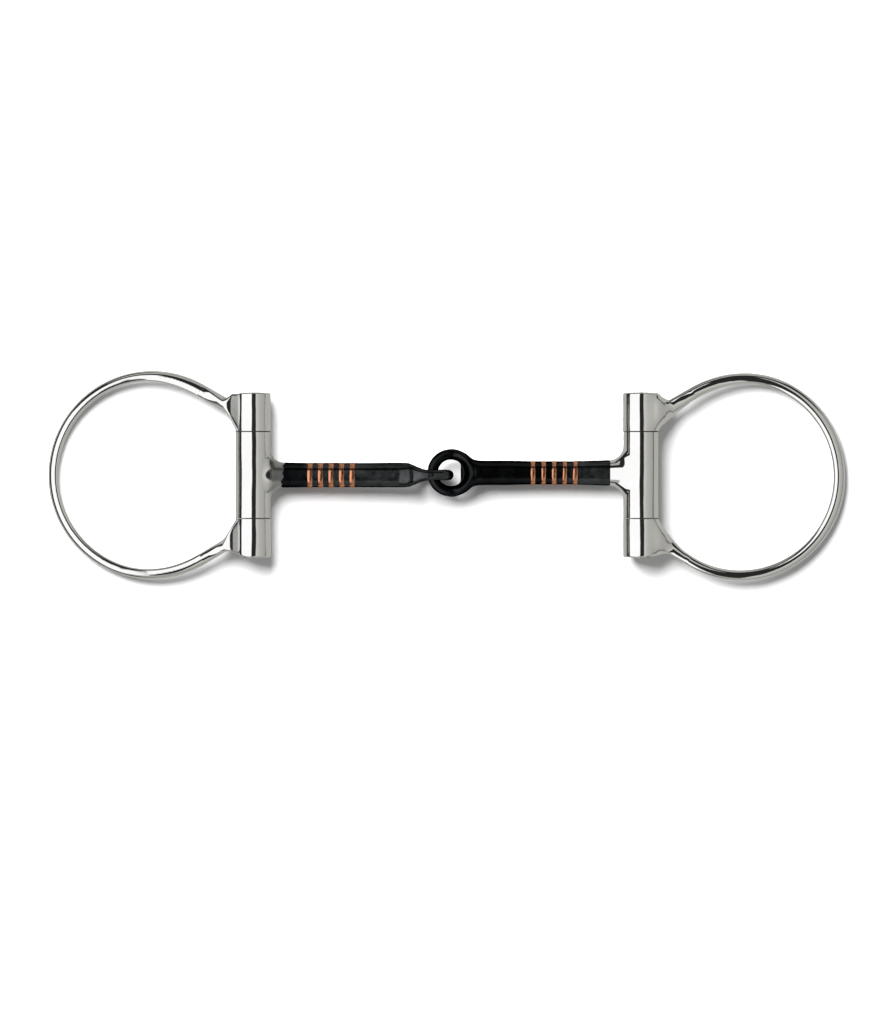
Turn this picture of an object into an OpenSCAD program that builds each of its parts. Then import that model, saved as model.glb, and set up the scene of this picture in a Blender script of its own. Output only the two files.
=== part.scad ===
// Jointed dee ring snaffle bit, lying flat on a table.
// X runs along the mouthpiece, Y along the cheek barrels, Z is up from the table.
// The origin is on the table, midway between the two hinge pins.

/* [Mouthpiece] */
// Width of the mouth, between the two cheek barrels
mouth_w = 127; // [114:1:140]
// Diameter of the left cannon, and of the right one at its eye
cannon_d = 8.9; // [8.4:0.1:9.6]
// Diameter of the right cannon where it meets its collar
right_cannon_d = 9.24; // [8.9:0.02:9.5]
// Diameter of the right cannon's waist, at its bands
waist_d = 8.4; // [8:0.1:8.8]
// How far the right cannon sits above the middle of its barrel
right_offset = 0.8; // [0:0.1:1]
// Distance from the left hinge pin to the centre of the left eye
left_reach = 63.7; // [58:0.1:66]
// Distance between the centres of the two linked eyes
eye_pitch = 7.6; // [7:0.1:8]
// Outside diameter of an eye
eye_d = 17.1; // [16.6:0.1:17.4]
// Thickness of the bar that forms an eye
eye_bar = 3.8; // [3.6:0.1:3.9]
// Radius of the hollow where an eye runs into its cannon
neck_fillet = 8; // [6:0.5:9]
// Distance from the eye centre to the flat root of the right eye's hole
hole_flat = 3.45; // [3.4:0.05:4]

/* [Copper inlays] */
// Number of copper bands in each cannon
band_count = 5; // [5]
// Width of one band
band_w = 1.7; // [1.2:0.1:2]
// Centre to centre spacing of the bands
band_pitch = 3.8; // [3:0.1:4.2]
// Depth of the groove that holds a band
band_depth = 0.6; // [0.4:0.1:0.8]
// How far a band stands proud of the cannon
band_proud = 0.03; // [0:0.01:0.05]
// Distance from the left hinge pin to the middle of the nearest left band
left_band_start = 20.7; // [19:0.5:24]
// Distance from the right hinge pin to the middle of the nearest right band
right_band_start = 23.6; // [20:0.1:26]

/* [Cheeks] */
// Outside diameter of the dee ring
ring_d = 75.2; // [74:0.2:76]
// Distance from a hinge pin to the far edge of its ring
ring_reach = 74.2; // [73.4:0.1:74.8]
// Diameter of the ring bar
ring_bar = 4; // [3.8:0.1:4.4]
// Outside diameter of the hinge barrel
barrel_d = 12.6; // [12:0.1:13]
// Whole length of the hinge barrel
barrel_len = 59.4; // [57:0.2:62]
// Length of the turning sleeve in the middle of the barrel
sleeve_len = 31.2; // [29:0.2:33]
// Running gap between the sleeve and each knuckle
seam_gap = 0.2; // [0.1:0.05:0.3]
// Diameter of the hinge pin
pin_d = 6; // [5.5:0.1:6.4]
// Reach of the web that ties the ring bar to a knuckle
web_reach = 10.5; // [10:0.1:11]
// Reach of the sleeve's steel collar, from the hinge pin
collar_reach = 11.1; // [10.8:0.1:12]
// Radius of the hollow between sleeve and collar
collar_fillet = 4.5; // [4:0.1:4.6]

/* [Hidden] */
$fn = 96;

barrel_r = barrel_d / 2;
barrel_half = barrel_len / 2;
sleeve_half = sleeve_len / 2;
pin_r = pin_d / 2;
pin_clearance = 0.05;     // between the pin and the bore it turns in
end_chamfer = 0.7;        // outer edge of each knuckle
seam_chamfer = 0.15;      // edges that face the seams
countersink = 0.8;        // depth of the pin's peened heads
spigot_r = 3;             // hidden end of each cannon, let into its collar
spigot_len = 5.5;
pin_x = mouth_w / 2 + barrel_r;

ring_r = ring_d / 2 - ring_bar / 2;      // to the middle of the bar
ring_bar_r = ring_bar / 2;
ring_x = ring_reach - ring_d / 2;        // from the hinge pin to the ring's centre
weld_overlap = 1;                        // how far the web reaches over the ring bar's end
weld_angle = acos((ring_x - web_reach + weld_overlap) / ring_r);
web_t = ring_bar - 0.4;                  // thickness of the web
web_top = barrel_half - 2;               // its upper edge, a step below the end of the barrel
knuckle_start = sleeve_half + seam_gap;

cannon_r = cannon_d / 2;
eye_r = eye_d / 2;
eye_bar_r = eye_bar / 2;
eye_mid_r = eye_r - eye_bar_r;
hole_r = eye_r - eye_bar;
right_reach = 2 * pin_x - left_reach - eye_pitch;
flat_r = 0.8 * eye_bar_r;  // half thickness of the neck's slab and the hole's root, inside the round bar
dish_lip = 1;              // width left between the dished hole and the outside of the eye

// Distance from the eye centre at which the neck hollow meets a cannon of radius r
function neck_start(r) = sqrt(pow(eye_r + neck_fillet, 2) - pow(r + neck_fillet, 2));

waist_lead = 6.5;          // how far the right cannon's waist starts ahead of its first band
// Shaft outlines as [distance from the pin, radius]; the right one is drawn in to a waist at the bands
left_shaft = [[collar_reach, cannon_r], [left_reach - neck_start(cannon_r), cannon_r]];
waist_start = right_band_start - waist_lead;
waist_end = band_x(right_band_start, band_count);
right_shaft = [
    [collar_reach, right_cannon_d / 2],
    [waist_start, waist_d / 2],
    [waist_end, waist_d / 2],
    [right_reach - neck_start(cannon_r), cannon_r]
];

// How the bit settles on the table: barrels, ring bars and the upright eye all touch it
ring_droop = asin((barrel_r - ring_bar_r) / (ring_x + ring_r));
left_tilt = asin((eye_r - barrel_r) / left_reach);

// Places a piece drawn about its own hinge pin at the left or right end of the bit
module at_left(turn) {
    translate([-pin_x, 0, barrel_r]) rotate([0, -turn, 0]) children();
}
module at_right(turn) {
    mirror([1, 0, 0]) at_left(turn) children();
}

steel = [0.78, 0.78, 0.76];
black_iron = [0.07, 0.07, 0.08];
copper = [0.72, 0.42, 0.27];

// Turns a profile drawn as [radius, height] about the Y axis
module turned_y() rotate([-90, 0, 0]) rotate_extrude() children();
// Turns a profile drawn as [radius, height] about the X axis
module turned_x() rotate([0, 90, 0]) rotate_extrude() children();

// ---- cheek pieces: hinge pin on the Y axis, ring towards -X ----

module ring() {
    color(steel) translate([-ring_x, 0, 0]) rotate([0, 0, weld_angle])
        rotate_extrude(angle = 360 - 2 * weld_angle)
            translate([ring_r, 0]) circle(ring_bar_r);
}

// Tube from the seam to the outer end, countersunk for the pin's peened head
module knuckle_tube() {
    turned_y() polygon([
        [pin_r, knuckle_start],
        [barrel_r - seam_chamfer, knuckle_start],
        [barrel_r, knuckle_start + seam_chamfer],
        [barrel_r, barrel_half - end_chamfer],
        [barrel_r - end_chamfer, barrel_half],
        [pin_r + countersink, barrel_half],
        [pin_r, barrel_half - countersink]
    ]);
}

// Flat web between the ring's inner edge and the knuckle
module web_outline() {
    difference() {
        translate([-web_reach, knuckle_start]) square([web_reach, web_top - knuckle_start]);
        translate([-ring_x, 0]) circle(ring_r - ring_bar_r);
        translate([-ring_x, 0]) rotate(weld_angle) square([2 * ring_r, ring_r]);
    }
}

// Web and the end of the ring bar, kept out of the knuckle's bore, the seam and the mouthpiece side
module lug() {
    difference() {
        union() {
            linear_extrude(web_t, center = true) web_outline();
            translate([-ring_x, 0, 0]) rotate_extrude(angle = weld_angle)
                translate([ring_r, 0]) circle(ring_bar_r);
        }
        turned_y() square([(barrel_r + pin_r) / 2, barrel_len]);
        translate([-barrel_len, -barrel_len, -ring_bar])
            cube([2 * barrel_len, barrel_len + knuckle_start, 2 * ring_bar]);
        translate([0, 0, -ring_bar]) cube([barrel_d, barrel_len, 2 * ring_bar]);
    }
}

module upper_knuckle() {
    color(steel) union() {
        knuckle_tube();
        lug();
    }
}

module lower_knuckle() mirror([0, 1, 0]) upper_knuckle();

// Solid pin with both ends peened into the knuckles and ground flush
module hinge_pin() {
    color(steel) turned_y() polygon([
        [0, -barrel_half],
        [pin_r + countersink, -barrel_half],
        [pin_r, -barrel_half + countersink],
        [pin_r, barrel_half - countersink],
        [pin_r + countersink, barrel_half],
        [0, barrel_half]
    ]);
}

// ---- mouthpiece half: hinge pin on the Y axis, cannon towards +X ----

module sleeve_tube() {
    turned_y() polygon([
        [0, -sleeve_half],
        [barrel_r - seam_chamfer, -sleeve_half],
        [barrel_r, -sleeve_half + seam_chamfer],
        [barrel_r, sleeve_half - seam_chamfer],
        [barrel_r - seam_chamfer, sleeve_half],
        [0, sleeve_half]
    ]);
}

// Collar that grows out of the sleeve in a hollow of collar_fillet
module collar(mouth_r) {
    flare_x = barrel_r + collar_fillet;
    intersection() {
        turned_x() difference() {
            square([mouth_r + collar_fillet, flare_x]);
            translate([mouth_r + collar_fillet, flare_x]) circle(collar_fillet);
        }
        rotate([90, 0, 0]) linear_extrude(barrel_len, center = true) polygon([
            [0, -barrel_r], [flare_x, -mouth_r], [flare_x, mouth_r], [0, barrel_r]
        ]);
    }
    turned_x() square([mouth_r, collar_reach]);
}

module sleeve(mouth_r, offset) {
    color(steel) difference() {
        union() {
            sleeve_tube();
            translate([0, offset, 0]) collar(mouth_r);
        }
        turned_y() translate([0, -barrel_half]) square([pin_r + pin_clearance, barrel_len]);
        translate([0, offset, 0]) turned_x()
            translate([0, collar_reach - spigot_len]) square([spigot_r, barrel_len]);
    }
}

// Groove or band: a ring of width w around the cannon, from radius r_in to r_out
module hoop(x, w, r_in, r_out) {
    turned_x() translate([r_in, x - w / 2]) square([r_out - r_in, w]);
}

function band_x(start, i) = start + (i - 1) * band_pitch;
// Outside radius of a shaft at distance x from the pin
function shaft_r(shaft, x) = lookup(x, shaft);

// The eye's bar, bent round the Z axis
module eye_ring() rotate_extrude() translate([eye_mid_r, 0]) circle(eye_bar_r);

// Neck between eye and cannon, drawn with the eye at the origin and the cannon towards -X.
// A trumpet shape is flattened by a tapered slab, then the eye's dished hole is cut through.
module neck(r) {
    start = neck_start(r);
    // where the hollow meets the outside of the eye
    tangent = [start, r + neck_fillet] * eye_r / (eye_r + neck_fillet);
    difference() {
        intersection() {
            turned_x() difference() {
                polygon([
                    [0, -start], [r, -start], [tangent[1], -tangent[0]],
                    [eye_mid_r, 0], [0, 0]
                ]);
                translate([r + neck_fillet, -start]) circle(neck_fillet);
            }
            rotate([90, 0, 0]) linear_extrude(eye_d, center = true) polygon([
                [-start, -r], [-eye_r, -r], [0, -flat_r], [0, flat_r], [-eye_r, r], [-start, r]
            ]);
        }
        for (side = [0, 1]) mirror([0, 0, side]) rotate_extrude() polygon([
            [0, -flat_r], [hole_r, -flat_r], [hole_r, 0], [eye_mid_r, eye_bar_r],
            [eye_r - dish_lip, cannon_r], [0, cannon_r]
        ]);
    }
}

// Flat root of the hole, a chord across the side next to the cannon
module hole_root() {
    linear_extrude(2 * flat_r, center = true) intersection() {
        circle(eye_mid_r);
        translate([-eye_r, -eye_r]) square([eye_r - hole_flat, eye_d]);
    }
}

// One forged half: spigot, shaft with grooves, neck and eye
module cannon(shaft, reach, band_start, eye_turn, flat_root) {
    color(black_iron) {
        difference() {
            turned_x() polygon(concat(
                [[0, collar_reach - spigot_len], [spigot_r, collar_reach - spigot_len],
                 [spigot_r, collar_reach]],
                [for (p = shaft) [p[1], p[0]]],
                [[0, reach - neck_start(cannon_r)]]
            ));
            for (i = [1:band_count]) {
                x = band_x(band_start, i);
                hoop(x, band_w, shaft_r(shaft, x) - band_depth, cannon_d);
            }
        }
        translate([reach, 0, 0]) rotate([eye_turn, 0, 0]) {
            eye_ring();
            neck(cannon_r);
            if (flat_root) hole_root();
        }
    }
}

module copper_band(shaft, band_start, i) {
    x = band_x(band_start, i);
    r = shaft_r(shaft, x);
    color(copper) hoop(x, band_w, r - band_depth, r + band_proud);
}

// ---- the pieces, each in its place on the table ----

module left_ring() at_left(ring_droop) ring();
module left_upper_knuckle() at_left(ring_droop) upper_knuckle();
module left_lower_knuckle() at_left(ring_droop) lower_knuckle();
module left_hinge_pin() at_left(ring_droop) hinge_pin();
module left_sleeve() at_left(left_tilt) sleeve(cannon_r, 0);
module left_cannon() at_left(left_tilt) cannon(left_shaft, left_reach, left_band_start, 90, false);
module left_copper_band(i) at_left(left_tilt) copper_band(left_shaft, left_band_start, i);

module right_ring() at_right(ring_droop) ring();
module right_upper_knuckle() at_right(ring_droop) upper_knuckle();
module right_lower_knuckle() at_right(ring_droop) lower_knuckle();
module right_hinge_pin() at_right(ring_droop) hinge_pin();
module right_sleeve() at_right(0) sleeve(right_cannon_d / 2, right_offset);
module right_cannon() at_right(0) translate([0, right_offset, 0])
    cannon(right_shaft, right_reach, right_band_start, 0, true);
module right_copper_band(i) at_right(0) translate([0, right_offset, 0])
    copper_band(right_shaft, right_band_start, i);

left_ring();
left_upper_knuckle();
left_lower_knuckle();
left_hinge_pin();
left_sleeve();
left_cannon();
for (i = [1:band_count])
    left_copper_band(i);

right_ring();
right_upper_knuckle();
right_lower_knuckle();
right_hinge_pin();
right_sleeve();
right_cannon();
for (i = [1:band_count])
    right_copper_band(i);
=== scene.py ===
"""Looks for the jointed dee ring snaffle bit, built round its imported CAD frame."""
import math
from collections import namedtuple

import bpy
import numpy as np
from mathutils import Matrix, Vector

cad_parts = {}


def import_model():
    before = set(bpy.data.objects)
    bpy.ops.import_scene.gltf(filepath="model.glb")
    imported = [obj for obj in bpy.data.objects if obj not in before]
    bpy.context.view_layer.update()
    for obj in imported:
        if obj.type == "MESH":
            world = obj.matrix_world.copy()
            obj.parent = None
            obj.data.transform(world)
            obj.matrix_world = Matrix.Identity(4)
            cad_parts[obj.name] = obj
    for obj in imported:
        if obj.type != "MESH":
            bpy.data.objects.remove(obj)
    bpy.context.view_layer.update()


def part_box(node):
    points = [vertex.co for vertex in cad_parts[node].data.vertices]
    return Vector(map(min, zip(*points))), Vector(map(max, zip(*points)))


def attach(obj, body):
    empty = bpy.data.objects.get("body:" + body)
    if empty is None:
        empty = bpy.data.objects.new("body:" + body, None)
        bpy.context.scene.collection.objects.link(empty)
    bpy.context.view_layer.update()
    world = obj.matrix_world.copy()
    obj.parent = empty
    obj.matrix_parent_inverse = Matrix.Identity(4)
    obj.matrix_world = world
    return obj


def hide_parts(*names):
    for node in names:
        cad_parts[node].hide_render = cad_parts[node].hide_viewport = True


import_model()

MM = 0.001
SIDES = {"left": -1, "right": 1}               # which way along x each half lies

# ---------------------------------------------------------------- sizes, in millimetres


def box_mm(node):
    """Lowest and highest corner of a CAD node, as arrays in millimetres."""
    low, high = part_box(node)
    return np.array(low) / MM, np.array(high) / MM


def span(node, axis):
    """Size of a CAD node along an axis."""
    low, high = box_mm(node)
    return high[axis] - low[axis]


def middle(node, axis):
    """Where the middle of a CAD node lies along an axis."""
    low, high = box_mm(node)
    return (high[axis] + low[axis]) / 2


PIN_X = abs(middle("right_hinge_pin", 0))      # hinge pins, from the middle of the bit
PIN_Z = middle("right_hinge_pin", 2)           # and above the table
BARREL_R = span("right_sleeve", 2) / 2
BARREL_HALF = span("right_hinge_pin", 1) / 2
SLEEVE_HALF = span("right_sleeve", 1) / 2
KNUCKLE_START = SLEEVE_HALF + 0.07             # the seams are all but closed
SEAM_EDGE = 0.08                               # radius of the edges at a seam
END_EDGE = 0.8                                 # and at a knuckle's outer end
PIN_HEAD_R = span("right_hinge_pin", 0) / 2
HEAD_DEPTH = 0.8                               # of a pin's head, which is wider than the shank by as much
PIN_R = PIN_HEAD_R - HEAD_DEPTH
PIN_CROWN = 0.14                               # rise of the peened heads
PIN_GAP = 0.05                                 # clearance of the pin in its sleeve
RING_OUTER_R = span("right_ring", 1) / 2
RING_HIGH = 2.0                                # half height of the ring bar
RING_INSIDE = 20                               # a distance from the pin that is well inside the ring
RING_DROP = PIN_Z - RING_HIGH                  # the ring's far edge rests on the table
RING_X = box_mm("right_ring")[1][0] - PIN_X - RING_OUTER_R    # ring centre, from its hinge pin
RING_DROOP = math.asin(RING_DROP / (RING_X + RING_OUTER_R - RING_HIGH))
EYE_R = span("right_cannon", 1) / 2
EYE_BAR_R = 1.9                                # half thickness of the bar that an eye is made of
EYE_MID_R = EYE_R - EYE_BAR_R
EYE_FILLET = 8.0                               # hollow between the eye and its cannon
HOLE_FLAT = 3.45                               # flat root of the right eye's hole, from its centre
COLLAR_END = 11.1                              # where polished collar gives way to black iron
COLLAR_FILLET = 4.4                            # hollow between the collar and its barrel
SPIGOT_R = 3.0                                 # the cannon's spigot inside the collar
SPIGOT_START = COLLAR_END - 5.5
SPIGOT_GAP = 0.02                              # its clearance all round
SPIGOT_END_GAP = 0.1                           # and at its end
JOINT_EDGE = 0.12                              # softness of the edges where collar and iron meet
BANDS = 5
BAND_DEPTH = 0.45
BAND_LAP = 0.1                                 # how far a band's edge covers the edge of its groove
BAND_PROUD = 0.03                              # rise of a band above the iron, at its edges
GROUND = 0.09                                  # size of the swells that grinding leaves on the barrels
FORGED = 0.03                                  # and forging on the cannons
KNUCKLE_PROUD = 0.08                           # how far the knuckles stand proud of the sleeve
MARGIN = 0.6                                   # how far a mesh's grid reaches past the shape
SEEDS = {"cheek": 5, "sleeve": 11, "cannon": 31, "band": 17}     # for the random swells of each kind of piece

# How each ring was bent and filed.
# far, side: half thickness of its bar at the far edge and beside it
# lean: slope of the bar's upper face towards the far side, and extra_lean: what the run by the lugs adds
# shoulders: how square the bar's inner and outer shoulders are
# sag: how far the ring sits below the middle of its barrel, from SAG_END outwards
RingBar = namedtuple("RingBar", "far side lean extra_lean shoulders sag")
RING_BARS = {
    "left": RingBar(1.85, 1.78, 0.09, 0.0, (3.5, 1.6), 0.0),
    "right": RingBar(2.2, 1.97, 0.23, 0.22, (2.0, 2.0), 0.45),
}

# The four lugs, where ring bar and knuckle are welded: upper (1) and lower (-1) on each side.
# bar: half thickness of the bar there, and pull: how far it is drawn in towards the ring's centre
# bend: degrees round from the far edge where the bar runs out straight
# shoulder: top of the weld, and rise: how it climbs to the knuckle
# gusset: where the web starts on the knuckle, and slope: how steeply it leaves it
# grind: slope ground across the knuckle's end, from grind_start outwards
Lug = namedtuple("Lug", "bar pull bend shoulder rise gusset slope grind grind_start")
LUGS = {
    ("left", 1): Lug(2.45, 0.0, 120, 28.0, 0.8, 16.9, 2.0, 0.25, 4.0),
    ("left", -1): Lug(2.15, 0.2, 121, 27.3, 0.25, 16.6, 1.6, 0.32, 1.5),
    ("right", 1): Lug(2.3, 0.9, 120.5, 27.5, 0.6, 16.7, 0.85, 0.14, 0.7),
    ("right", -1): Lug(1.8, -0.15, 122, 28.2, 0.1, 16.6, 1.22, 0.22, 0.0),
}
SAG_END = 40                                   # from the pin to where a ring has its full sag
SHOULDER_X = 9                                 # from the pin to where a shoulder has its stated height

# start, run: where the straight bar starts to turn into web, and over what length
# square: how much squarer than an ellipse the web is; fillet: hollow where it meets the knuckle
Web = namedtuple("Web", "start run square fillet")
WEBS = {"left": Web(11, 3.5, 5, 0.02), "right": Web(11.5, 6.5, 0.9, 1.3)}

# The right lugs swell up to the knuckle. The left ones climb to a crest, and a flat gusset falls from it.
SWELL = 2.9                                    # how much the right lugs rise from the bar to the knuckle
CRESTS = {1: (10.2, 2.4), -1: (8.8, 1.8)}      # where a left lug is highest, and how broad its crest is
CREST_CLIMB = 0.6                              # slope up to the crest from the ring's side
WEB_X, WEB_Z = 5.0, 3.85                       # where the left gussets meet the knuckle
WEB_FALL = 0.27                                # their slope down to it

# How each cannon was forged and turned. collar, waist, neck: its radius by the collar, at the bands and by
# the eye; taper_end: where the taper from the collar ends; mouth, taper: radius of the collar's mouth and its
# slope from there to the barrel; band_filed: how much narrower the bands are than on the other side, in all
Half = namedtuple("Half", "collar waist neck taper_end mouth taper band_filed")
HALVES = {
    "left": Half(4.52, 4.38, 4.45, 20, 4.5, 0.06, 0.0),
    "right": Half(4.62, 4.2, 4.42, 25, 4.62, 0.13, 0.24),
}


def reach_and_tilt(side):
    """Distance from pin to eye centre, and how far that half leans up, in radians."""
    low, high = box_mm(side + "_cannon")
    if side == "right":
        return PIN_X - (low[0] + EYE_R), 0.0
    rise = EYE_R - PIN_Z
    reach = math.hypot(high[0] - EYE_R + PIN_X, rise)
    return reach, math.asin(rise / reach)


def placement(side, outward, lean, offset=0.0):
    """Matrix from a piece's own axes (x away from the pin, y up the barrel) to the table, in mm."""
    s = SIDES[side]
    along = s if outward else -s
    x_axis = Vector((along * math.cos(lean), 0, math.sin(lean)))
    z_axis = Vector((-along * math.sin(lean), 0, math.cos(lean)))
    rows = Matrix((x_axis, (0, 1, 0), z_axis)).transposed().to_4x4()
    return Matrix.Translation((s * PIN_X, offset, PIN_Z)) @ rows


# ---------------------------------------------------------------- meshes from distance fields


def lines(*stops):
    """Grid lines through (position, spacing) stops; the spacing holds up to the next stop."""
    out = []
    for (start, step), (end, _) in zip(stops, stops[1:]):
        count = max(1, round((end - start) / step))
        out.append(np.linspace(start, end, count, endpoint=False))
    return np.append(np.concatenate(out), stops[-1][0])


def round_union(a, b, r, lean=0):
    """Union of a and b with a hollow fillet of radius r.

    lean is the cosine of the angle between the two surfaces' normals.
    """
    da, db = a - r, b - r
    hollow = (lean * db > da) & (lean * da > db)
    reach = np.sqrt(np.maximum(da * da + db * db - 2 * lean * da * db, 0) / (1 - lean * lean))
    return np.where(hollow, r - reach, np.minimum(a, b))


def soft_min(a, b, k):
    """The smaller of a and b, softened over k where they are close; of two fields, their union."""
    h = np.maximum(k - np.abs(a - b), 0) / k
    return np.minimum(a, b) - h * h * k / 4


def soft_max(a, b, k):
    """The larger of a and b, softened in the same way; of two fields, what they have in common."""
    return -soft_min(-a, -b, k)


def rounded(dr, dy, r):
    """Two half-spaces that meet in an edge of radius r."""
    u = dr + r
    v = dy + r
    return np.minimum(np.maximum(u, v), 0) + np.hypot(np.maximum(u, 0), np.maximum(v, 0)) - r


def gradient(field, p, step=0.01):
    """Slope of the field at each point of p, by central differences."""
    g = np.empty_like(p)
    for axis in range(3):
        d = np.zeros(3)
        d[axis] = step
        g[:, axis] = (field(*(p + d).T) - field(*(p - d).T)) / (2 * step)
    return g


CORNERS = [(i, j, k) for i in (0, 1) for j in (0, 1) for k in (0, 1)]     # of a grid cell


def cell_points(value, cells, grid):
    """One point in each cell: the mean of where the surface crosses the cell's edges."""
    points = np.zeros((len(cells), 3))
    crossings = np.zeros(len(cells))
    for a in CORNERS:
        for axis in range(3):
            if a[axis]:
                continue
            b = list(a)
            b[axis] = 1
            ia = tuple((cells + a).T)
            ib = tuple((cells + b).T)
            va, vb = value[ia], value[ib]
            cross = (va < 0) != (vb < 0)
            t = np.where(cross, va / np.where(cross, va - vb, 1), 0)
            for c in range(3):
                pa = grid[c][ia[c]]
                pb = grid[c][ib[c]]
                points[:, c] += np.where(cross, pa + t * (pb - pa), 0)
            crossings += cross
    return points / crossings[:, None]


def cell_quads(inside, number):
    """One quad for each grid edge that crosses the surface, through the four cells round that edge."""
    shape = number.shape
    quads = []
    for axis in range(3):
        o1, o2 = (axis + 1) % 3, (axis + 2) % 3
        lower = [slice(None)] * 3
        upper = [slice(None)] * 3
        lower[axis] = slice(0, -1)
        upper[axis] = slice(1, None)
        at = np.argwhere(inside[tuple(lower)] != inside[tuple(upper)])
        at = at[(at[:, o1] > 0) & (at[:, o2] > 0) & (at[:, o1] < shape[o1]) & (at[:, o2] < shape[o2])]
        around = []
        for d1, d2 in ((1, 1), (0, 1), (0, 0), (1, 0)):
            cell = at.copy()
            cell[:, o1] -= d1
            cell[:, o2] -= d2
            around.append(number[tuple(cell.T)])
        quad = np.stack(around, 1)
        outward = inside[tuple(at.T)]
        quad[~outward] = quad[~outward][:, ::-1]
        quads.append(quad)
    return np.concatenate(quads)


def settle(field, p, rounds):
    """Moves the points of p onto the surface, by Newton's method."""
    flattest = 0.05                            # keeps the step short where the field is all but level
    for _ in range(rounds):
        g = gradient(field, p)
        p = p - (field(*p.T) / np.maximum((g * g).sum(1), flattest))[:, None] * g
    return p


def relaxed(field, points, quads, rounds=3):
    """Evens the points out along the surface, each towards the mean of its neighbours."""
    ends = np.concatenate([quads[:, [i, (i + 1) % 4]] for i in range(4)])
    for _ in range(rounds):
        mean = np.zeros_like(points)
        count = np.zeros(len(points))
        np.add.at(mean, ends[:, 0], points[ends[:, 1]])
        np.add.at(count, ends[:, 0], 1)
        points = settle(field, points + 0.5 * (mean / np.maximum(count, 1)[:, None] - points), 1)
    return points


def net(field, xs, ys, zs):
    """Closed quad mesh of field = 0 on the grid, with its points on the surface and exact normals."""
    value = field(xs[:, None, None], ys[None, :, None], zs[None, None, :])
    value = np.broadcast_to(value, (len(xs), len(ys), len(zs)))
    inside = value < 0
    nx, ny, nz = (n - 1 for n in inside.shape)
    total = np.zeros((nx, ny, nz), np.int8)
    for i, j, k in CORNERS:
        total += inside[i:nx + i, j:ny + j, k:nz + k]
    cells = np.argwhere((total > 0) & (total < len(CORNERS)))
    number = np.full(total.shape, -1, np.int32)
    number[tuple(cells.T)] = np.arange(len(cells))
    quads = cell_quads(inside, number)
    points = settle(field, cell_points(value, cells, (xs, ys, zs)), 2)
    points = settle(field, relaxed(field, points, quads), 2)
    normals = gradient(field, points)
    normals /= np.linalg.norm(normals, axis=1)[:, None]
    return points, quads, normals


def seam_shade(points, seam):
    """How much painted shade each point near the seam of a barrel gets, from 0 to 1."""
    depth = np.abs(np.abs(points[:, 1]) - seam)
    fade = 0.13                                # distance over which it thins out
    return np.clip(1.7 - depth / fade, 0, 1) * (points[:, 0] < BARREL_R + 1.5)


def piece(name, points, quads, normals, matrix, material, body, slot, stands_for, painted_shade=None):
    """Places a mesh given in millimetres and hands it to its CAD body."""
    m = np.array(matrix)
    placed = (points @ m[:3, :3].T + m[:3, 3]) * MM
    if matrix.to_3x3().determinant() < 0:
        quads = quads[:, ::-1]
    mesh = bpy.data.meshes.new(name)
    mesh.vertices.add(len(placed))
    mesh.vertices.foreach_set("co", placed.ravel())
    mesh.loops.add(quads.size)
    mesh.loops.foreach_set("vertex_index", quads.ravel().astype(np.int32))
    mesh.polygons.add(len(quads))
    mesh.polygons.foreach_set("loop_start", np.arange(len(quads), dtype=np.int32) * 4)
    mesh.update(calc_edges=True)
    mesh.shade_smooth()
    if normals is not None:
        mesh.normals_split_custom_set_from_vertices(normals @ m[:3, :3].T)
    # painted shade, stored as a point attribute that the materials read
    if painted_shade is not None:
        mesh.attributes.new("painted_shade", "FLOAT", "POINT").data.foreach_set("value", painted_shade)
    mesh.materials.append(material)
    obj = bpy.data.objects.new(name, mesh)
    bpy.context.scene.collection.objects.link(obj)
    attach(obj, body)
    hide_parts(*stands_for)


# ---------------------------------------------------------------- shapes


def smooth_step(t):
    """From 0 to 1 as t does, with level ends."""
    t = np.clip(t, 0, 1)
    return t * t * (3 - 2 * t)


def hand_ground(x, y, z, seed, size):
    """Slow swells that grinding and polishing by hand leave on a barrel or cannon, in mm."""
    waves = np.random.default_rng(seed)
    around = np.arctan2(z, x)
    swell = 0
    for order in (2, 3, 4):
        drift, phase = waves.uniform(-0.22, 0.22), waves.uniform(0, 2 * math.pi)
        pitch, start = waves.uniform(0.12, 0.3), waves.uniform(0, 2 * math.pi)
        ripple = 0.7 + 0.3 * np.sin(pitch * y + start)
        swell = swell + np.cos(order * around + drift * y + phase) * ripple / order
    return size * swell


def barrel_field(x, y, z, y0, y1, r0, r1):
    """Barrel section from y0 to y1, with end edges of radius r0 and r1."""
    centre = (y0 + y1) / 2
    r = np.where(y > centre, r1, r0)
    return rounded(np.hypot(x, z) - BARREL_R, np.abs(y - centre) - (y1 - y0) / 2, r)


def oval(across, half, z, high, power):
    """Cross-section with half width half and half height high; power 2 is an ellipse, more is squarer."""
    reach = ((np.abs(across) / half) ** power + (np.abs(z) / high) ** power) ** (1 / power)
    return (reach - 1) * np.minimum(half, high)


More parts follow.
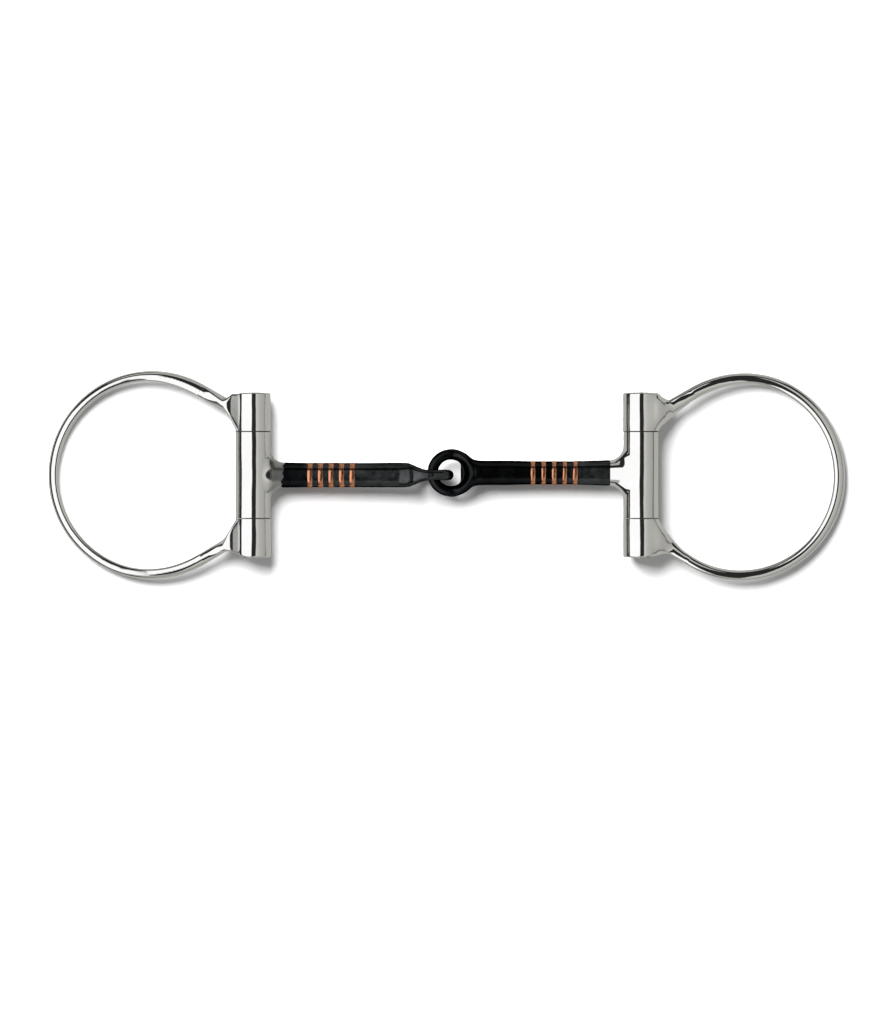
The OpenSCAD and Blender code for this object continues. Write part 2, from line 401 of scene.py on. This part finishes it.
def lug_and_ring(side, end):
    """Field of half a ring, from its far edge to the lug at the upper (1) or lower (-1) knuckle."""
    bar, lug, web = RING_BARS[side], LUGS[side, end], WEBS[side]
    bend = math.radians(lug.bend)
    lean = bend - math.pi / 2
    straight_r = RING_OUTER_R - lug.bar - lug.pull
    bend_x = RING_X + straight_r * math.cos(bend)
    bend_y = straight_r * math.sin(bend)
    hand_over = bend_x - 1.5                   # the straight run takes over here
    thicken_from, pull_from = 1.3, 1.1         # angles round the ring, in radians

    def curved(x, y, z, angle):
        # the bar was bent with its upper face turned a little away from the knuckles
        across = np.hypot(x - RING_X, y) - RING_OUTER_R + bar.side
        turned_z = z + bar.lean * np.cos(angle) * across
        thicken = smooth_step((angle - thicken_from) / (bend - thicken_from))
        half = bar.far + (bar.side - bar.far) * smooth_step(angle / (math.pi / 2))
        half = half + (lug.bar - bar.side) * thicken
        high = RING_HIGH + (lug.bar - RING_HIGH) * thicken
        radius = RING_OUTER_R - half - lug.pull * smooth_step((angle - pull_from) / (bend - pull_from))
        across = np.hypot(x - RING_X, y) - radius
        return oval(across, half, turned_z, high, np.where(across < 0, *bar.shoulders))

    def half_height(x, near):
        if side == "right":      # the gusset swells up to the knuckle
            return lug.bar + SWELL * near
        # the bar climbs to a crest, and the gusset falls from it to the knuckle
        crest, breadth = CRESTS[end]
        climb = WEB_Z + WEB_FALL * (crest - WEB_X) + CREST_CLIMB * (crest - x)
        high = soft_max(lug.bar + 0 * x, climb, 1.6)
        return soft_min(high, WEB_Z + WEB_FALL * (x - WEB_X), breadth)

    def straight(x, y, z, mid):
        # between an inner and an outer edge that are functions of x; the weld stays short of the barrel's end
        half_y = lug.bar / math.cos(lean)
        gusset = lug.gusset + lug.slope * (x - BARREL_R)
        inner = soft_min(mid - half_y, gusset, 1.4)
        shoulder = np.minimum(lug.shoulder + lug.rise * (SHOULDER_X - x), BARREL_HALF - 0.35)
        outer = soft_max(mid + half_y, shoulder, 1.0)
        near = smooth_step((web.start - x) / web.run)
        middle_y, half_y = (inner + outer) / 2, (outer - inner) / 2
        turn = bar.lean * math.cos(bend) - bar.extra_lean * smooth_step((hand_over - x) / 5)
        turned_z = z + turn * (y - mid) * math.cos(lean) * smooth_step((x - 8.5) / 3)
        return oval(y - middle_y, half_y, turned_z, half_height(x, near), 2 + web.square * near)

    def field(x, y, z):
        angle = np.arctan2(y, x - RING_X)
        mid = bend_y - (bend_x - x) * math.tan(lean)
        run_out = np.hypot((y - mid) * math.cos(lean) / lug.bar, z / lug.bar) * lug.bar - lug.bar
        ring = np.where((angle > bend) & (x < RING_X), run_out, curved(x, y, z, angle))
        # the lug stops inside the knuckle, short of the pin's axis
        lug_end = np.maximum(straight(x, y, z, mid), 1.5 - x)
        return np.where(x < hand_over, lug_end, ring)
    return field


def cheek_field(side):
    """Field of a ring with its two knuckles, bored for the hinge pin."""
    upper, lower = lug_and_ring(side, 1), lug_and_ring(side, -1)

    def field(x, y, z):
        y = y + RING_BARS[side].sag * smooth_step(x / SAG_END)
        up = np.abs(y)
        tube = barrel_field(x, up, z, KNUCKLE_START, BARREL_HALF, SEAM_EDGE, END_EDGE)
        tube = tube + hand_ground(x, y, z, SEEDS["cheek"] + SIDES[side], GROUND) - KNUCKLE_PROUD
        bar = np.where(y > 0, upper(x, up, z), lower(x, up, z))
        for end in (1, -1):
            lug = LUGS[side, end]
            end_face = BARREL_HALF + 0.02 - lug.grind * soft_max(x - lug.grind_start, 0 * x, 2)
            tube = np.where(y * end > 0, soft_max(tube, up - end_face, 0.5), tube)
        body = round_union(tube, bar, WEBS[side].fillet)
        # between the knuckles there is room for the sleeve
        body = np.maximum(body, np.where(x < RING_INSIDE, KNUCKLE_START - up, -1))
        # the bore widens at its outer end for the pin's head
        bore = PIN_R + np.maximum(0, up - (BARREL_HALF - HEAD_DEPTH)) - np.hypot(x, z)
        return np.maximum(body, bore)
    return field


def joint_x(side, y, z):
    """Where collar meets iron: a clean line on the right half, a toothed one on the left."""
    if side == "right":
        return COLLAR_END + 0 * y
    turn = np.arctan2(y, z) / (2 * math.pi)
    # nine teeth round the collar, and four more that make them uneven
    teeth = np.abs((turn * 9 + 0.25) % 1 - 0.5) + 0.6 * np.abs((turn * 4) % 1 - 0.5)
    return COLLAR_END - 0.7 + 1.3 * teeth + 0.5 * np.sin(turn * 2 * math.pi)


def sleeve_field(side):
    """Field of a sleeve and its collar, bored for the pin and for the cannon's spigot."""
    half = HALVES[side]
    offset = middle(side + "_cannon", 1)

    def field(x, y, z):
        tube = barrel_field(x, y, z, -SLEEVE_HALF, SLEEVE_HALF, SEAM_EDGE, SEAM_EDGE)
        tube = tube + hand_ground(x, y, z, SEEDS["sleeve"] + SIDES[side], GROUND)
        y = y - offset
        around = np.hypot(y, z)
        # collars are ground to a slight taper, which shows in what they reflect
        collar = np.maximum(around - half.mouth - half.taper * (COLLAR_END - x), -x)
        lean = z * z / np.maximum(around * np.hypot(x, z), 0.1)
        body = round_union(tube, collar, COLLAR_FILLET, np.minimum(lean, 0.99))
        body = np.maximum(body, np.abs(y + offset) - SLEEVE_HALF)
        body = soft_max(body, x - joint_x(side, y, z), JOINT_EDGE)
        bore = PIN_R + PIN_GAP - np.hypot(x, z)
        socket = -np.maximum(around - SPIGOT_R, SPIGOT_START - x)
        return np.maximum(np.maximum(body, bore), socket)
    return field


def shaft_radius(side, x):
    """Radius of a cannon at distance x from the pin; each is drawn in a little at its bands."""
    half = HALVES[side]
    flare = np.clip((half.taper_end - x) / (half.taper_end - COLLAR_END), 0, 1)
    swell = smooth_step((x - 38) / 12)
    return half.waist + (half.collar - half.waist) * flare + (half.neck - half.waist) * swell


def cannon_field(side, reach, bands):
    """Field of a cannon with its spigot, its grooves for bands of (centre, width), and its eye."""
    neck_r = float(shaft_radius(side, reach))
    # from the eye's centre to where the neck starts, and to where its hollow meets the outside of the eye
    start = math.sqrt((EYE_R + EYE_FILLET) ** 2 - (neck_r + EYE_FILLET) ** 2)
    tangent = start * EYE_R / (EYE_R + EYE_FILLET)
    thin = EYE_BAR_R * 0.8                           # half height of the neck where it meets the eye

    def shaft(x, y, z, joint):
        r = shaft_radius(side, x)
        around = np.hypot(y, z)
        settled = smooth_step((reach - start - x) / 5) * smooth_step((x - COLLAR_END) / 3)
        body = around - r + settled * hand_ground(y, x, z, SEEDS["cannon"] + SIDES[side], FORGED)
        for centre, width in bands:
            groove = np.maximum(np.abs(x - centre) - width / 2 + BAND_LAP, r - BAND_DEPTH - around)
            body = np.maximum(body, -groove)
        body = soft_max(body, joint - x, JOINT_EDGE)
        spigot = np.maximum(around - SPIGOT_R + SPIGOT_GAP, SPIGOT_START + SPIGOT_END_GAP - x)
        # the spigot ends inside the body
        return np.minimum(body, np.maximum(spigot, x - COLLAR_END - 2))

    def neck(u, y, z):
        back = np.clip(-u, 0, start)
        # half width in the plane of the eye follows the hollow round the eye
        drop = np.sqrt(EYE_FILLET ** 2 - np.clip(start - back, 0, start - tangent) ** 2)
        # half height across it tapers from the cannon to the bar
        high = thin + (neck_r - thin) * smooth_step((back - 1.0) / 8.4)
        power = 2.0 + 0.8 * np.clip((start - back) / 5, 0, 1)
        body = np.maximum(oval(y, neck_r + EYE_FILLET - drop, z, high, power), u)
        # the hole is dished above and below the bar
        over = np.abs(z) - EYE_BAR_R
        dish = EYE_MID_R + np.where(over < 0, 0.12 * over, 0.34 * over)
        return soft_max(body, dish - np.hypot(u, y), 0.7)

    def eye(u, y, z):
        rho = np.hypot(u, y)
        # the bar thickens across the eye towards the neck
        bar_high = EYE_BAR_R + 0.42 * soft_max(-u - 2.0, 0 * u, 1.5)
        ring = oval(rho - EYE_MID_R, EYE_BAR_R, z, bar_high, 2)
        solid = soft_min(neck(u, y, z), ring, 1.0)
        if side == "right":       # its hole has a flat root
            root = np.maximum(np.maximum(u + HOLE_FLAT, rho - EYE_MID_R), np.abs(z) - 1.6)
            solid = soft_min(solid, root, 0.6)
        return solid

    def field(x, y, z):
        joint = joint_x(side, y, z)
        if side == "left":
            y, z = z, -y          # the left eye stands upright
        u = x - reach             # from the eye's centre, cannon towards -u
        return np.where(u < -start, shaft(x, y, z, joint), eye(u, y, z))
    return field


def turned(profile, steps=96):
    """Closed quad mesh of a closed profile of (along, radius) points, turned about the x axis."""
    turn = np.linspace(0, 2 * math.pi, steps, endpoint=False)
    rows = len(profile)
    pts = np.array([[a, r * math.cos(t), r * math.sin(t)] for a, r in profile for t in turn])
    quads = [
        [i * steps + j, i * steps + (j + 1) % steps,
         (i + 1) % rows * steps + (j + 1) % steps, (i + 1) % rows * steps + j]
        for i in range(rows) for j in range(steps)
    ]
    return pts, np.array(quads)


# ---------------------------------------------------------------- materials


class Nodes:
    """A material's node tree, built one node per call."""

    def __init__(self, name):
        self.material = bpy.data.materials.new(name)
        self.material.use_nodes = True
        self.tree = self.material.node_tree
        self.shader = self.tree.nodes["Principled BSDF"]
        self.place = self.add("ShaderNodeTexCoord").outputs["Object"]

    def add(self, kind, **values):
        """A new node; each value is one of its settings or, if it has no such setting, of its inputs."""
        node = self.tree.nodes.new(kind)
        for key, value in values.items():
            if hasattr(node, key):
                setattr(node, key, value)
            else:
                node.inputs[key.replace("_", " ").title()].default_value = value
        return node

    def link(self, out, into):
        """Feeds an output into an input."""
        self.tree.links.new(out, into)

    def noise(self, scale, detail=4.0, rough=0.55, stretch=None):
        """Noise in the mesh's own space, which stretch can scale along each axis."""
        node = self.add("ShaderNodeTexNoise", scale=scale, detail=detail, roughness=rough)
        source = self.place
        if stretch:
            mapping = self.add("ShaderNodeMapping")
            mapping.inputs["Scale"].default_value = stretch
            self.link(source, mapping.inputs["Vector"])
            source = mapping.outputs["Vector"]
        self.link(source, node.inputs["Vector"])
        return node.outputs["Fac"]

    def spread(self, value, low, high, to_low, to_high):
        """Takes the range from low to high to the one from to_low to to_high."""
        node = self.add("ShaderNodeMapRange")
        for index, number in enumerate((low, high, to_low, to_high), 1):
            node.inputs[index].default_value = number
        self.link(value, node.inputs[0])
        return node.outputs[0]

    def mix(self, factor, a, b):
        """Blend of two colours, each a tuple or another node's output."""
        node = self.add("ShaderNodeMix")
        node.data_type = "RGBA"
        self.link(factor, node.inputs[0])
        for index, colour in ((6, a), (7, b)):
            if isinstance(colour, tuple):
                node.inputs[index].default_value = (*colour, 1)
            else:
                self.link(colour, node.inputs[index])
        return node.outputs[2]

    def bump(self, *layers):
        """Layers of (height, distance in metres), each on top of the last."""
        normal = None
        for height, distance in layers:
            node = self.add("ShaderNodeBump")
            node.inputs["Distance"].default_value = distance
            self.link(height, node.inputs["Height"])
            if normal is not None:
                self.link(normal, node.inputs["Normal"])
            normal = node.outputs["Normal"]
        self.link(normal, self.shader.inputs["Normal"])


def math_node(tree, kind, *values):
    """Output of a math node; each value is a number or another node's output."""
    node = tree.nodes.new("ShaderNodeMath")
    node.operation = kind
    for index, value in enumerate(values):
        if isinstance(value, (int, float)):
            node.inputs[index].default_value = value
        else:
            tree.links.new(value, node.inputs[index])
    return node.outputs[0]


def polished_steel():
    """Bright steel with faint smears and ripples, painted dark and made duller where its mesh carries painted
    shade.
    """
    n = Nodes("polished_steel")
    n.shader.inputs["Metallic"].default_value = 1
    painted_shade = n.add("ShaderNodeAttribute", attribute_name="painted_shade").outputs["Fac"]
    metal = n.mix(n.noise(90, 3), (0.84, 0.835, 0.82), (0.93, 0.93, 0.925))
    # painted shade: the base colour goes to near black where the mask is set; the mask also adds roughness
    # below
    n.link(n.mix(painted_shade, metal, (0.03, 0.028, 0.025)), n.shader.inputs["Base Color"])
    smear = n.spread(n.noise(400, 5, 0.6, (1, 0.12, 1)), 0.3, 0.7, 0.03, 0.08)
    n.link(math_node(n.tree, "MULTIPLY_ADD", painted_shade, 0.5, smear), n.shader.inputs["Roughness"])
    n.bump((n.noise(150, 2, 0.4), 0.0001), (n.noise(2600, 3, 0.6, (1, 0.08, 1)), 0.0000015))
    return n.material


def pin_steel():
    """Duller steel of the peened pins."""
    n = Nodes("pin_steel")
    n.shader.inputs["Metallic"].default_value = 1
    n.link(n.mix(n.noise(300, 4), (0.5, 0.49, 0.47), (0.66, 0.65, 0.63)), n.shader.inputs["Base Color"])
    n.link(n.spread(n.noise(900, 4), 0.3, 0.7, 0.18, 0.34), n.shader.inputs["Roughness"])
    n.bump((n.noise(1500, 4), 0.00002))
    return n.material


def black_iron():
    """Blackened sweet iron, mottled, painted darker where its mesh carries painted dark reflection."""
    n = Nodes("black_iron")
    n.shader.inputs["Metallic"].default_value = 1
    n.shader.inputs["Specular Tint"].default_value = (0.12, 0.12, 0.13, 1)     # no bright rim
    tone = n.spread(n.noise(160, 6, 0.65), 0.35, 0.68, 0.0, 1.0)
    iron = n.mix(tone, (0.045, 0.048, 0.052), (0.12, 0.127, 0.13))
    painted_dark = n.add("ShaderNodeAttribute", attribute_name="painted_shade").outputs["Fac"]
    # painted dark reflection: the base colour goes to near black where the mask is set
    n.link(n.mix(painted_dark, iron, (0.008, 0.009, 0.011)), n.shader.inputs["Base Color"])
    n.link(n.spread(n.noise(420, 6, 0.7), 0.3, 0.7, 0.14, 0.28), n.shader.inputs["Roughness"])
    n.bump((n.noise(140, 3, 0.5), 0.0001), (n.noise(2400, 5, 0.7), 0.00001))
    return n.material


def copper():
    """Copper bands with dark stains."""
    n = Nodes("copper")
    n.shader.inputs["Metallic"].default_value = 1
    n.shader.inputs["Specular Tint"].default_value = (0.4, 0.25, 0.18, 1)
    stain = n.spread(n.noise(900, 5, 0.7), 0.66, 0.78, 0, 1)
    base = n.mix(n.noise(350, 4), (0.80, 0.31, 0.16), (0.97, 0.46, 0.27))
    n.link(n.mix(stain, base, (0.16, 0.07, 0.04)), n.shader.inputs["Base Color"])
    n.link(n.spread(n.noise(700, 4), 0.3, 0.7, 0.16, 0.3), n.shader.inputs["Roughness"])
    n.bump((n.noise(1800, 4, 0.6, (0.3, 1, 1)), 0.000015))
    return n.material


STEEL = polished_steel()
PIN_STEEL = pin_steel()
IRON = black_iron()
COPPER = copper()

# ---------------------------------------------------------------- build


def build_cheek(side):
    """A ring and its two knuckles, welded into one."""
    body = side + "_cheek"
    edge_x, edge_y = BARREL_R + MARGIN, RING_OUTER_R + 1
    far = RING_X + RING_OUTER_R + 1
    xs = lines((-edge_x, 0.3), (WEB_X - 0.7, 0.1), (BARREL_R + 0.7, 0.3), (24, 0.4), (far, 1))
    # fine along the barrel's two ends and the two seams
    ys = lines((-edge_y, 0.35), (-BARREL_HALF - 0.2, 0.1), (-BARREL_HALF + 1.0, 0.33),
               (-KNUCKLE_START - 0.3, 0.05), (-KNUCKLE_START + 0.1, 0.4),
               (KNUCKLE_START - 0.1, 0.05), (KNUCKLE_START + 0.3, 0.33),
               (BARREL_HALF - 1.0, 0.1), (BARREL_HALF + 0.2, 0.35), (edge_y, 1))
    zs = lines((-edge_x, 0.3), (WEB_Z - 0.5, 0.1), (WEB_Z + 0.5, 0.3), (edge_x, 1))
    mesh = net(cheek_field(side), xs, ys, zs)
    # painted shade along the seams between knuckles and sleeve
    painted_shade = seam_shade(mesh[0], KNUCKLE_START)
    if side == "left":       # painted shade in the hollow between web and knuckle, which is also made duller
        x, y = mesh[0][:, 0], mesh[0][:, 1]
        hollow = smooth_step((x - WEB_X + 0.4) / 0.4) * smooth_step((WEB_X + 3.2 - x) / 0.8)
        painted_shade = np.maximum(painted_shade, 0.22 * hollow * (np.abs(y) > KNUCKLE_START))
    stands_for = [side + "_ring", side + "_upper_knuckle", side + "_lower_knuckle"]
    place = placement(side, True, -RING_DROOP)
    piece(body + "_ring", *mesh, place, STEEL, body, "polished_steel", stands_for, painted_shade)


def build_pin(side):
    """A hinge pin with both ends peened over."""
    body = side + "_cheek"
    crown = [(BARREL_HALF + PIN_CROWN * (1 - f * f), PIN_HEAD_R * f) for f in (0.05, 0.25, 0.5, 0.75, 0.92)]
    profile = crown + [(BARREL_HALF - 0.02, PIN_HEAD_R), (BARREL_HALF - HEAD_DEPTH, PIN_R)]
    profile += [(-along, r) for along, r in reversed(profile)]
    points, quads = turned(profile)
    # stood up along the barrel
    points, quads = points[:, [1, 0, 2]], quads[:, ::-1]
    place = placement(side, True, -RING_DROOP)
    piece(side + "_hinge_pin_rivet", points, quads, None, place, PIN_STEEL, body, "pin_steel",
          [side + "_hinge_pin"])


def build_sleeve(side, tilt):
    """The middle of a barrel, with the collar that grips the cannon."""
    edge = BARREL_R + MARGIN
    xs = lines((-edge, 0.3), (COLLAR_END - 1.0, 0.12), (COLLAR_END + 1.8, 1))
    ys = lines((-SLEEVE_HALF - 0.1, 0.05), (-SLEEVE_HALF + 0.3, 0.33), (SLEEVE_HALF - 0.3, 0.05),
               (SLEEVE_HALF + 0.11, 1))
    zs = lines((-edge, 0.3), (edge, 1))
    mesh = net(sleeve_field(side), xs, ys, zs)
    # painted shade along the seams between sleeve and knuckles
    painted_shade = seam_shade(mesh[0], SLEEVE_HALF)
    if side == "left":        # the left collar is painted darker where it grips the iron, a painted reflection of the dark iron, and made duller
        painted_shade = np.maximum(painted_shade, 0.5 * smooth_step((mesh[0][:, 0] - 5) / 2.5))
    place = placement(side, False, tilt)
    piece(side + "_sleeve_tee", *mesh, place, STEEL, side + "_mouthpiece", "polished_steel",
          [side + "_sleeve"], painted_shade)


def build_band(side, number, centre, width, place):
    """A copper band hammered into its groove, with edges that wander a little."""
    node = f"{side}_copper_band_{number}"
    r = shaft_radius(side, centre)
    half = (width - HALVES[side].band_filed) / 2
    rising = [(-half, -BAND_DEPTH), (-half, 0), (-half + 0.08, BAND_PROUD)]
    outline = rising + [(0, BAND_PROUD + 0.01)] + [(-along, out) for along, out in reversed(rising)]
    points, quads = turned([(centre + along, r + out) for along, out in outline], 160)
    turn = np.arctan2(points[:, 2], points[:, 1])
    ahead = points[:, 0] > centre
    on_edge = np.abs(points[:, 0] - centre) >= 0.3
    wave = np.random.default_rng(SEEDS["band"] * number + SIDES[side])
    for order in (1, 2, 3, 5, 8, 13):
        sizes, phases = wave.normal(0, 0.05 / order ** 0.4, 2), wave.uniform(0, 2 * math.pi, 2)
        size, phase = np.where(ahead, sizes[0], sizes[1]), np.where(ahead, phases[0], phases[1])
        points[:, 0] += np.where(on_edge, size * np.sin(order * turn + phase), 0)
    piece(node + "_inlay", points, quads, None, place, COPPER, side + "_mouthpiece", "copper", [node])


def build_cannon(side, reach, bands, place):
    """A cannon and its eye, grooved for bands of (centre, width)."""
    top = EYE_R + MARGIN
    first, last = min(centre for centre, _ in bands), max(centre for centre, _ in bands)
    xs = lines((COLLAR_END - 6, 0.4), (COLLAR_END - 1.0, 0.12), (COLLAR_END + 1.8, 0.35), (first - 1.2, 0.12),
               (last + 1.2, 0.33), (reach + top, 1))
    small, large = lines((-5.0, 0.3), (5.0, 1)), lines((-top, 0.3), (top, 1))
    ys, zs = (small, large) if side == "left" else (large, small)
    mesh = net(cannon_field(side, reach, bands), xs, ys, zs)
    along = mesh[0][:, 0]
    # painted dark reflection: the left cannon darker by its collar, the right one from its bands to its eye
    painted_dark = smooth_step((22 - along) / 5) if side == "left" else smooth_step((along - 24) / 10)
    piece(side + "_cannon_and_eye", *mesh, place, IRON, side + "_mouthpiece", "black_iron",
          [side + "_cannon"], 0.8 * painted_dark)


def build_half(side):
    """One half of the mouthpiece: sleeve, bands and cannon."""
    reach, tilt = reach_and_tilt(side)
    build_sleeve(side, tilt)
    place = placement(side, False, tilt, middle(side + "_cannon", 1))
    width = span("right_copper_band_1", 0)     # the left bands lean, so their boxes are wider
    centres = [PIN_X - abs(middle(f"{side}_copper_band_{number}", 0)) for number in range(1, BANDS + 1)]
    bands = [(centre, width) for centre in centres]
    for number, (centre, _) in enumerate(bands, 1):
        build_band(side, number, centre, width, place)
    build_cannon(side, reach, bands, place)


for side in SIDES:
    build_cheek(side)
    build_pin(side)
    build_half(side)

# ---------------------------------------------------------------- floor, light and camera


def floor():
    """Plain pale floor."""
    bpy.ops.mesh.primitive_plane_add(size=8)
    plane = bpy.context.object
    plane.name = "floor"
    n = Nodes("floor")
    n.shader.inputs["Base Color"].default_value = (0.86, 0.86, 0.86, 1)
    n.shader.inputs["Roughness"].default_value = 0.9
    n.shader.inputs["Specular IOR Level"].default_value = 0
    # painted reflection: to glossy rays the floor is a grey glow, with a dark horizon that reaches far down
    # on the left
    path = n.add("ShaderNodeLightPath")
    geometry = n.add("ShaderNodeNewGeometry")
    split = n.add("ShaderNodeSeparateXYZ")
    n.link(geometry.outputs["Incoming"], split.inputs[0])
    leftward = n.spread(split.outputs[0], 0.0, 0.25, 0.04, 0.28)
    steep = math_node(n.tree, "SUBTRACT", split.outputs[2], leftward)
    glow = n.add("ShaderNodeEmission")
    painted_reflection_grey = n.mix(n.spread(steep, 0.0, 0.05, 0, 1), (0.02, 0.02, 0.02), (0.46, 0.455, 0.43))
    n.link(painted_reflection_grey, glow.inputs["Color"])
    choose = n.add("ShaderNodeMixShader")
    n.link(path.outputs["Is Glossy Ray"], choose.inputs[0])
    n.link(n.shader.outputs[0], choose.inputs[1])
    n.link(glow.outputs[0], choose.inputs[2])
    n.link(choose.outputs[0], n.tree.nodes["Material Output"].inputs["Surface"])
    plane.data.materials.append(n.material)


def mirror_colour(tree):
    """What polished metal sees: a soft box on the left, a dark strip overhead, a grey wall on the right."""
    coord = tree.nodes.new("ShaderNodeTexCoord")
    split = tree.nodes.new("ShaderNodeSeparateXYZ")
    tree.links.new(coord.outputs["Generated"], split.inputs[0])
    dx, dy, dz = split.outputs

    def ramp(value, stops):
        """Colour ramp through (position, grey) stops."""
        node = tree.nodes.new("ShaderNodeValToRGB")
        tree.links.new(value, node.inputs[0])
        elements = node.color_ramp.elements
        while len(elements) < len(stops):
            elements.new(0.5)
        for element, (at, grey) in zip(elements, stops):
            element.position = at
            element.color = (grey, grey * 0.993, grey * (0.94 + 0.06 * (grey > 0.9)), 1)
        return node.outputs[0]

    alpha = math_node(tree, "ARCTAN2", dx, dz)       # angle from overhead towards the right
    front = math_node(tree, "MAXIMUM", math_node(tree, "MULTIPLY_ADD", dy, -1.0, -0.2), 0.0)
    alpha = math_node(tree, "MULTIPLY_ADD", front, 0.17, alpha)      # the strip widens towards the front
    share = math_node(tree, "MULTIPLY_ADD", alpha, 1 / (2 * math.pi), 0.5)
    # what the ramp shows at each angle, in degrees
    across = [(-95, 0.02), (-79, 0.02), (-76, 1.0), (-9, 1.0), (-6.5, 0.02), (17, 0.02), (21, 0.58),
              (40, 0.44), (80, 0.35), (87, 0.2), (92, 0.2), (97, 0.36)]
    strips = ramp(share, [(0.5 + degrees / 360, grey) for degrees, grey in across])
    # towards the top of the picture a black flag cuts the soft box off, with a grey wall behind it
    back = math_node(tree, "MULTIPLY_ADD", math_node(tree, "ABSOLUTE", dx), 0.2, dy)
    back = math_node(tree, "MULTIPLY_ADD", back, 0.5, 0.5)
    wall = ramp(back, [(0.0, 0.0), (0.06, 0.0), (0.1, 1.0), (0.85, 1.0), (0.87, 0.0), (1.0, 0.0)])
    grey = ramp(back, [(0.0, 0.36), (0.1, 0.36), (0.5, 0.02), (0.975, 0.02), (0.985, 0.4), (1.0, 0.4)])
    mix = tree.nodes.new("ShaderNodeMix")
    mix.data_type = "RGBA"
    tree.links.new(wall, mix.inputs[0])
    tree.links.new(grey, mix.inputs[6])
    tree.links.new(strips, mix.inputs[7])
    return mix.outputs[2]


def world():
    """White studio for diffuse light and the camera; polished metal sees mirror_colour instead."""
    sky = bpy.data.worlds.new("studio")
    sky.use_nodes = True
    bpy.context.scene.world = sky
    tree = sky.node_tree
    path = tree.nodes.new("ShaderNodeLightPath")

    def background(strength):
        node = tree.nodes.new("ShaderNodeBackground")
        node.inputs["Color"].default_value = (1, 1, 1, 1)
        node.inputs["Strength"].default_value = strength
        return node

    ambient, mirror, white = background(0.3), background(1.12), background(1)
    tree.links.new(mirror_colour(tree), mirror.inputs["Color"])
    surface = ambient
    for ray, shader in (("Is Glossy Ray", mirror), ("Is Camera Ray", white)):
        choose = tree.nodes.new("ShaderNodeMixShader")
        tree.links.new(path.outputs[ray], choose.inputs[0])
        tree.links.new(surface.outputs[0], choose.inputs[1])
        tree.links.new(shader.outputs[0], choose.inputs[2])
        surface = choose
    tree.links.new(surface.outputs[0], tree.nodes["World Output"].inputs["Surface"])


def key_light():
    """A soft lamp above and behind on the left, which metal does not show."""
    lamp = bpy.data.lights.new("key", "AREA")
    lamp.shape = "DISK"
    lamp.size = 0.85
    lamp.energy = 30
    obj = bpy.data.objects.new("key", lamp)
    obj.location = (-0.4, 0.52, 0.66)
    obj.rotation_euler = (-Vector(obj.location)).to_track_quat("-Z", "Y").to_euler()
    obj.visible_glossy = False
    bpy.context.scene.collection.objects.link(obj)


def camera():
    """Looks straight down on the middle of the bit, from far enough to keep it square."""
    lens = bpy.data.cameras.new("camera")
    obj = bpy.data.objects.new("camera", lens)
    bpy.context.scene.collection.objects.link(obj)
    distance = 3.0
    view_height = 0.3687                       # height of the picture at the table, in metres
    lens.lens = lens.sensor_width * distance / view_height
    aim = Vector((0.0004, -0.0133, PIN_Z * MM))     # the bit lies above the middle of the picture
    obj.location = aim + Vector((0, 0, distance))
    bpy.context.scene.camera = obj


floor()
world()
key_light()
camera()
bpy.context.scene.view_settings.view_transform = "Standard"
